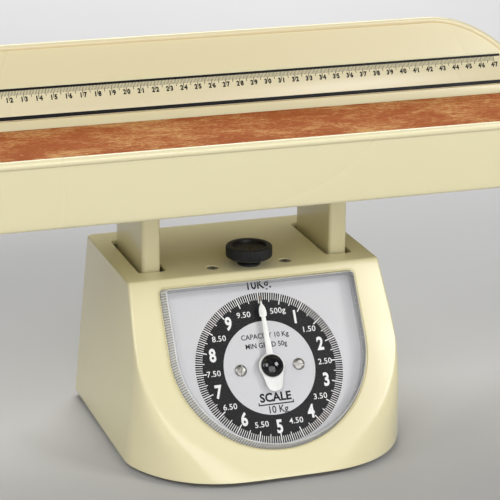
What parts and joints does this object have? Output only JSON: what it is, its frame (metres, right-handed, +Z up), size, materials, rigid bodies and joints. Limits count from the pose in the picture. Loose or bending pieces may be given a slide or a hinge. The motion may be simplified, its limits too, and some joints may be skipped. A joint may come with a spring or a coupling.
{
  "type": "infant weighing scale",
  "caption": "Mechanical spring scale: trough tray with ruler and mat on two posts above a sloping housing with a round dial and zero knob.",
  "frame": {"origin": "middle of the footprint of the whole scale, on the surface that the feet stand on", "axes": "+X to the right along the tray, +Y to the back, +Z up; the dial faces -Y"},
  "size_m": [0.5305, 0.2435, 0.2295],
  "materials": {
    "cream_plastic": "glossy moulded cream plastic, faint orange peel",
    "cream_paint": "cream stove enamel on steel",
    "mat_vinyl": "rust-brown vinyl with fine ochre marbling",
    "ruler_film": "printed cream film",
    "dial_paint": "light grey printed plate",
    "clear_cover": "clear moulded plastic with ribbed walls",
    "pointer_white": "white painted blade",
    "hub_black": "glossy black cap",
    "knob_black": "black moulded plastic, ribbed rim",
    "guide_nylon": "natural nylon",
    "plated_steel": "zinc plated sheet steel",
    "bright_steel": "bright drawn steel",
    "zinc_screw": "zinc plated screws",
    "brass": "plain brass",
    "foot_rubber": "black rubber"
  },
  "bodies": {
    "base": {"housing": "cream_plastic", "dial_plate": "dial_paint", "dial_cover": "clear_cover", "rack_guide": "guide_nylon", "base_plate": "plated_steel", "chassis": "plated_steel", "dial_bracket": "plated_steel", "upper_rear_pin": "bright_steel", "lower_rear_pin": "bright_steel", "spindle_collar": "bright_steel", "main_spring_left": "bright_steel", "main_spring_right": "bright_steel", "base_screw_front_left": "zinc_screw", "base_screw_front_right": "zinc_screw", "base_screw_rear_left": "zinc_screw", "base_screw_rear_right": "zinc_screw", "dial_screw_left": "zinc_screw", "dial_screw_right": "zinc_screw", "top_screw_left": "zinc_screw", "top_screw_right": "zinc_screw", "bracket_screw_left": "zinc_screw", "bracket_screw_right": "zinc_screw", "front_bush": "brass", "rear_bush": "brass", "foot_front_left": "foot_rubber", "foot_front_right": "foot_rubber", "foot_rear_left": "foot_rubber", "foot_rear_right": "foot_rubber"},
    "carriage": {"carriage": "plated_steel", "rack_pin": "bright_steel", "post_left": "cream_paint", "post_right": "cream_paint", "tray": "cream_plastic", "mat": "mat_vinyl", "ruler_strip": "ruler_film", "upper_front_pin": "bright_steel", "lower_front_pin": "bright_steel", "post_screw_left_front": "zinc_screw", "post_screw_left_rear": "zinc_screw", "post_screw_right_front": "zinc_screw", "post_screw_right_rear": "zinc_screw", "tray_screw_left_front": "zinc_screw", "tray_screw_left_rear": "zinc_screw", "tray_screw_right_front": "zinc_screw", "tray_screw_right_rear": "zinc_screw"},
    "dial_hand": {"pointer": "pointer_white", "hub_cap": "hub_black", "pointer_shaft": "bright_steel", "pinion": "brass"},
    "rack": {"rack": "brass"},
    "knob": {"zero_knob": "knob_black", "knob_screw": "brass", "zero_spindle": "bright_steel"},
    "hanger": {"spring_hanger": "plated_steel"},
    "upper_arm": {"upper_arm": "plated_steel"},
    "lower_arm": {"lower_arm": "plated_steel"}
  },
  "joints": [
    {"name": "platform_slide", "type": "slide", "parent": "base", "child": "carriage", "axis": [0, 0, -1], "range_m": [0, 0.02], "stiffness_N_per_m": 4905, "springref_m": -0.007, "deforming": ["main_spring_left", "main_spring_right"]},
    {"name": "pointer_turn", "type": "hinge", "parent": "base", "child": "dial_hand", "pos_m": [0, -0.08248, 0.06302], "axis": [0, 0.848, -0.5299], "range_deg": [0, 360]},
    {"name": "rack_slide", "type": "slide", "parent": "base", "child": "rack", "axis": [0, -0.5299, -0.848], "range_m": [0, 0.01697]},
    {"name": "upper_arm_pivot", "type": "hinge", "parent": "base", "child": "upper_arm", "pos_m": [0, 0.038, 0.086], "axis": [1, 0, 0], "range_deg": [0, 20.6]},
    {"name": "lower_arm_pivot", "type": "hinge", "parent": "base", "child": "lower_arm", "pos_m": [0, 0.038, 0.044], "axis": [1, 0, 0], "range_deg": [0, 20.6]},
    {"name": "zero_knob_turn", "type": "hinge", "parent": "base", "child": "knob", "pos_m": [0, -0.037, 0.12], "axis": [0, 0, 1], "range_deg": [-1080, 1080]},
    {"name": "hanger_slide", "type": "slide", "parent": "base", "child": "hanger", "axis": [0, 0, 1], "range_m": [-0.003, 0.003]}
  ],
  "couplings": [
    {"joint": "pointer_turn", "follows": "platform_slide", "rad_per_m": 314.15},
    {"joint": "rack_slide", "follows": "platform_slide", "ratio": 0.84805},
    {"joint": "upper_arm_pivot", "follows": "platform_slide", "rad_per_m": 17.953},
    {"joint": "lower_arm_pivot", "follows": "platform_slide", "rad_per_m": 17.953},
    {"joint": "zero_knob_turn", "follows": "hanger_slide", "rad_per_m": -6283.2}
  ]
}
